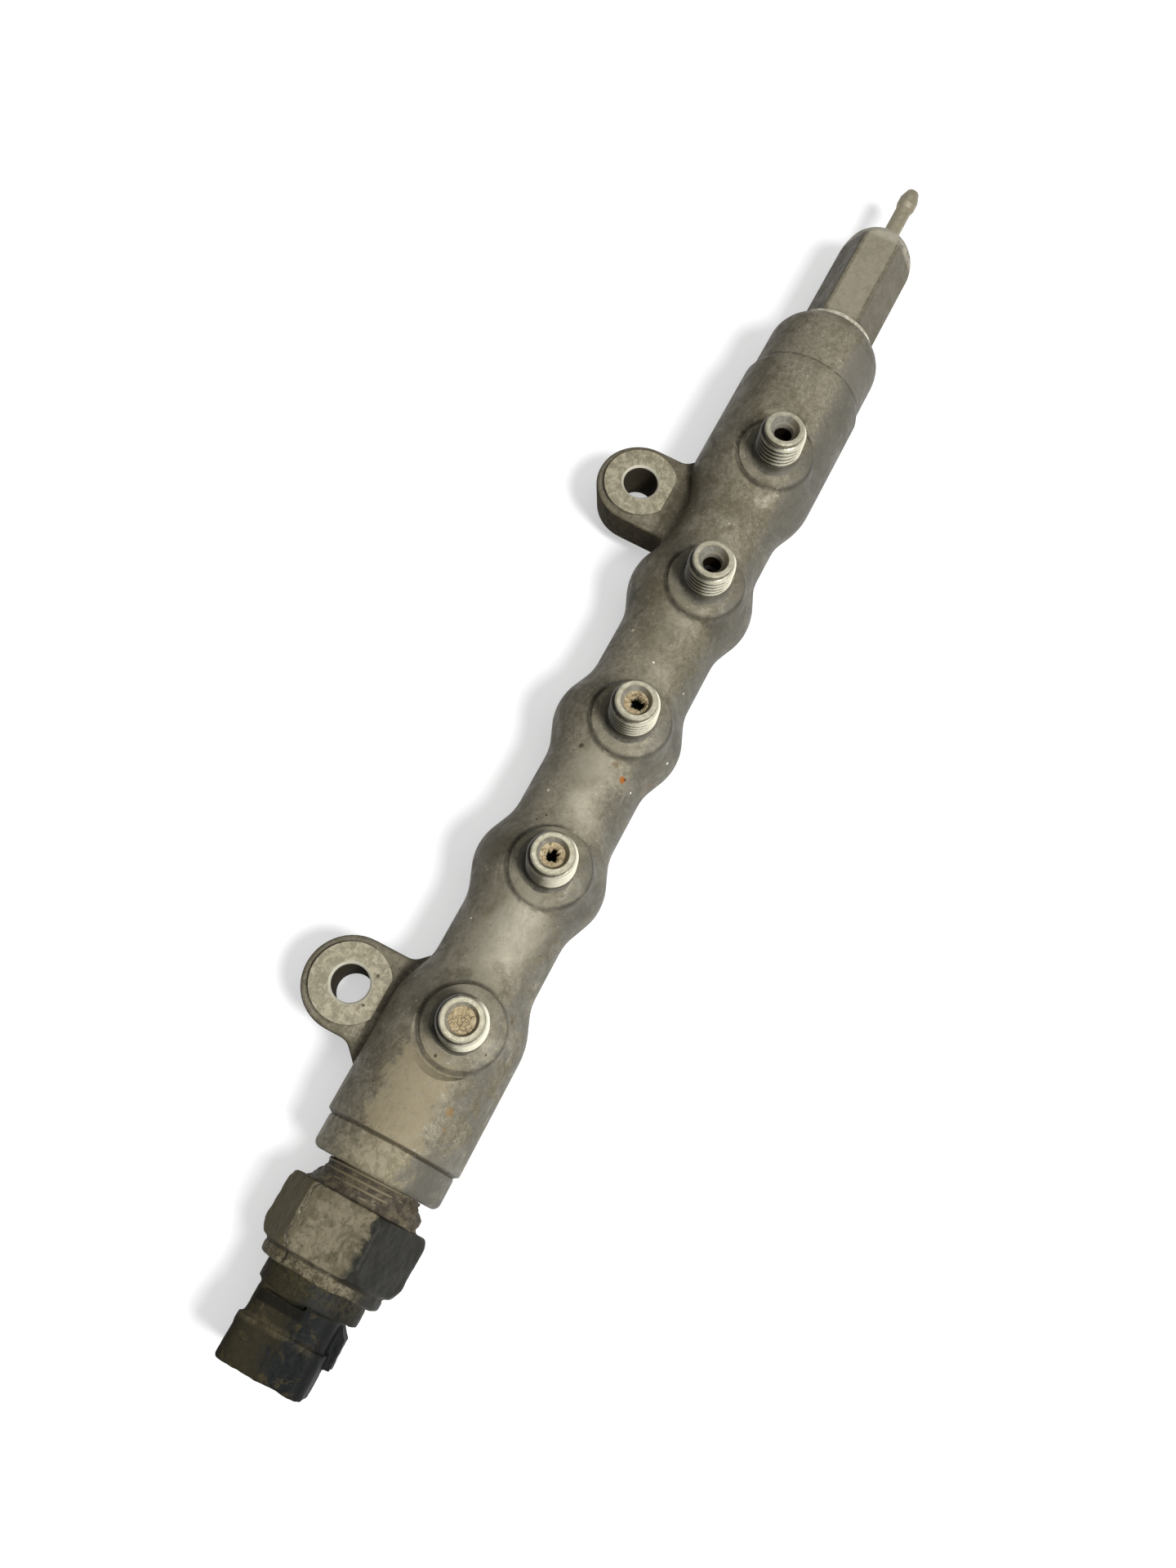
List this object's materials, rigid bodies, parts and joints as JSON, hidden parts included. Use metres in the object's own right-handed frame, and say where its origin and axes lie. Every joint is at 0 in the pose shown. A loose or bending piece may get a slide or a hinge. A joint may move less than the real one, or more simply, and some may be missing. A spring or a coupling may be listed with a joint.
{
  "type": "diesel common-rail fuel rail",
  "caption": "Forged common-rail fuel rail with threaded outlet nipples, bolt lugs, a pressure limiter with a leak-off pipe at one end and a pressure sensor with its plug connector at the other.",
  "frame": {"origin": "midway between the two lug holes, on the lugs' flat mounting face", "axes": "+X runs along the rail towards the limiter, +Z points the way the outlets do, +Y points from the rail to the lugs"},
  "size_m": [0.3539, 0.055, 0.043],
  "materials": {
    "rail_zinc": "weathered zinc plating, matte, dusty",
    "limiter_zinc": "weathered zinc plating, satin",
    "gasket_steel": "bright satin",
    "pipe_steel": "dirty satin",
    "sensor_zinc": "weathered zinc plating under dried mud",
    "hardened_steel": "ground, satin",
    "spring_steel": "oiled, satin",
    "connector_plastic": "glass-filled nylon, dusty",
    "board_laminate": "green laminate",
    "chip_glass": "dark, glossy",
    "seal_rubber": "matte",
    "pin_tin": "tinned, satin"
  },
  "bodies": {
    "rail": {"rail_body": "rail_zinc", "limiter_gasket": "gasket_steel", "limiter_housing": "limiter_zinc", "leak_off_pipe": "pipe_steel", "sensor_housing": "sensor_zinc", "connector_housing": "connector_plastic", "limiter_valve_seat": "hardened_steel", "limiter_valve_guide": "hardened_steel", "limiter_spring": "spring_steel", "limiter_shim": "hardened_steel", "sensor_gasket": "gasket_steel", "sensing_stem": "hardened_steel", "stem_clamp_screw": "hardened_steel", "strain_chip": "chip_glass", "sensor_circuit_board": "board_laminate", "connector_seal_ring": "seal_rubber", "orifice_bush_1": "hardened_steel", "orifice_bush_2": "hardened_steel", "orifice_bush_3": "hardened_steel", "orifice_bush_4": "hardened_steel", "orifice_bush_5": "hardened_steel", "terminal_pin_1": "pin_tin", "terminal_pin_2": "pin_tin", "terminal_pin_3": "pin_tin"},
    "relief_valve": {"limiter_valve": "hardened_steel", "limiter_spring_plate": "hardened_steel"}
  },
  "joints": [
    {"name": "relief_valve_lift", "type": "slide", "parent": "rail", "child": "relief_valve", "axis": [1, 0, 0], "range_m": [0, 0.0008], "stiffness_N_per_m": 50000, "deforming": ["limiter_spring"]}
  ]
}
